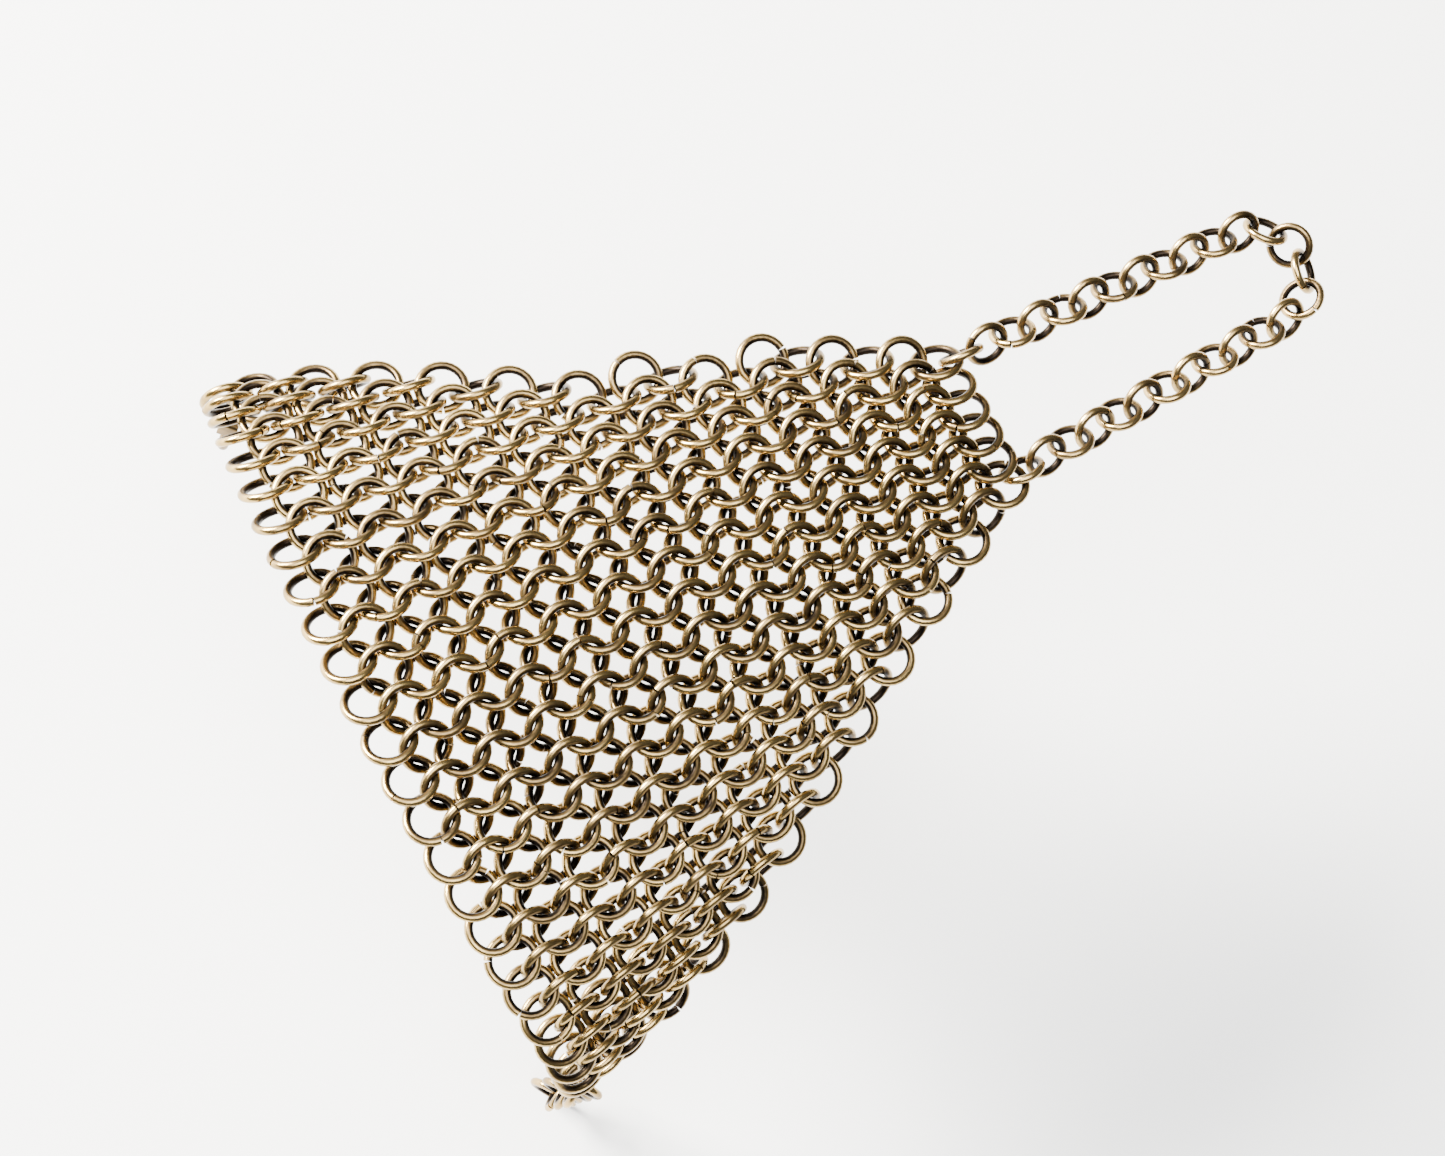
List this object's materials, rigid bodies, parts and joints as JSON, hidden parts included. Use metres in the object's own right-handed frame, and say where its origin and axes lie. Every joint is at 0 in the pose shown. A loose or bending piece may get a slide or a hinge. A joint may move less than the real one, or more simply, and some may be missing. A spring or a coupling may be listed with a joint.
{
  "type": "chain mail glove",
  "caption": "Backless chain mail hand piece: a triangular 4-in-1 ring panel for the back of the hand, a chain finger loop and a lobster-clasp wrist closure.",
  "frame": {"origin": "middle of the wrist opening: in the plane of the wrist row at its crown, at the level where the lower tip ends", "axes": "+X from the wrist edge to the finger loop, +Y across the hand towards the clasp, +Z out of the back of the hand"},
  "size_m": [0.1436, 0.1064, 0.0722],
  "materials": {
    "mail": "antiqued, dark patina with worn bright edges",
    "chain": "antiqued, a little brighter than the mail",
    "clasp": "antiqued cast brass",
    "spring": "plain spring strip"
  },
  "bodies": {
    "panel": {"mail_strip_09": "mail", "mail_strip_10": "mail", "mail_strip_11": "mail", "mail_strip_12": "mail", "mail_strip_13": "mail", "mail_strip_14": "mail", "mail_strip_15": "mail", "mail_strip_16": "mail", "mail_strip_17": "mail"},
    "upper_wing": {"mail_strip_05": "mail", "mail_strip_06": "mail", "mail_strip_07": "mail", "mail_strip_08": "mail"},
    "upper_tip": {"mail_strip_01": "mail", "mail_strip_02": "mail", "mail_strip_03": "mail", "mail_strip_04": "mail"},
    "lower_wing": {"mail_strip_18": "mail", "mail_strip_19": "mail", "mail_strip_20": "mail", "mail_strip_21": "mail"},
    "lower_tip": {"mail_strip_22": "mail", "mail_strip_23": "mail", "mail_strip_24": "mail", "mail_strip_25": "mail", "mail_strip_26": "mail"},
    "loop_base": {"loop_base_rings": "chain"},
    "loop_middle": {"loop_middle_rings": "chain"},
    "loop_tip": {"loop_tip_rings": "chain"},
    "clasp_ring": {"clasp_ring": "chain"},
    "clasp": {"clasp_body": "clasp", "clasp_pin": "clasp", "clasp_spring": "spring"},
    "clasp_gate_arm": {"clasp_lever": "clasp"},
    "extension_upper": {"extension_upper_rings": "chain"},
    "extension_lower": {"extension_lower_rings": "chain", "extension_end_ring": "chain"}
  },
  "joints": [
    {"name": "upper_wing_fold", "type": "hinge", "parent": "panel", "child": "upper_wing", "pos_m": [0.00101, 0.0224, 0.03564], "axis": [0.996, -0.0875, 0.0154], "range_deg": [-4, 12]},
    {"name": "upper_tip_fold", "type": "hinge", "parent": "upper_wing", "child": "upper_tip", "pos_m": [0.00365, 0.0406, 0.02523], "axis": [0.9858, -0.1586, 0.056], "range_deg": [-4, 12]},
    {"name": "lower_wing_fold", "type": "hinge", "parent": "panel", "child": "lower_wing", "pos_m": [0.00126, -0.02489, 0.03467], "axis": [0.9951, 0.0972, 0.0191], "range_deg": [-12, 4]},
    {"name": "lower_tip_fold", "type": "hinge", "parent": "lower_wing", "child": "lower_tip", "pos_m": [0.00406, -0.04244, 0.02341], "axis": [0.9841, 0.1658, 0.0631], "range_deg": [-12, 4]},
    {"name": "loop_root_fold", "type": "hinge", "parent": "panel", "child": "loop_base", "pos_m": [0.08724, 0, 0.03882], "axis": [0, 0.9996, 0.0297], "range_deg": [-10, 10]},
    {"name": "loop_middle_fold", "type": "hinge", "parent": "loop_base", "child": "loop_middle", "pos_m": [0.10258, 0, 0.03882], "axis": [0, 0.9996, 0.0297], "range_deg": [-35, 35]},
    {"name": "loop_tip_fold", "type": "hinge", "parent": "loop_middle", "child": "loop_tip", "pos_m": [0.12206, 0, 0.03882], "axis": [0, 0.9996, 0.0297], "range_deg": [-35, 35]},
    {"name": "clasp_ring_swing", "type": "hinge", "parent": "upper_tip", "child": "clasp_ring", "pos_m": [0.00687, 0.04895, 0.00974], "axis": [1, 0, 0], "range_deg": [-6, 35]},
    {"name": "clasp_swing", "type": "hinge", "parent": "clasp_ring", "child": "clasp", "pos_m": [0.00732, 0.04845, 0.00635], "axis": [0.7314, 0.682, 0], "range_deg": [-35, 35]},
    {"name": "clasp_gate", "type": "hinge", "parent": "clasp", "child": "clasp_gate_arm", "pos_m": [0.00831, 0.04937, 0.00098], "axis": [-0.682, 0.7314, 0], "range_deg": [0, 24], "stiffness_Nm_per_rad": 0.002, "springref_deg": -17.19},
    {"name": "extension_upper_swing", "type": "hinge", "parent": "lower_tip", "child": "extension_upper", "pos_m": [0.00804, -0.0515, -0.00073], "axis": [1, 0, 0], "range_deg": [-40, 8]},
    {"name": "extension_lower_swing", "type": "hinge", "parent": "extension_upper", "child": "extension_lower", "pos_m": [0.00804, -0.05224, -0.01237], "axis": [1, 0, 0], "range_deg": [-35, 35]}
  ]
}
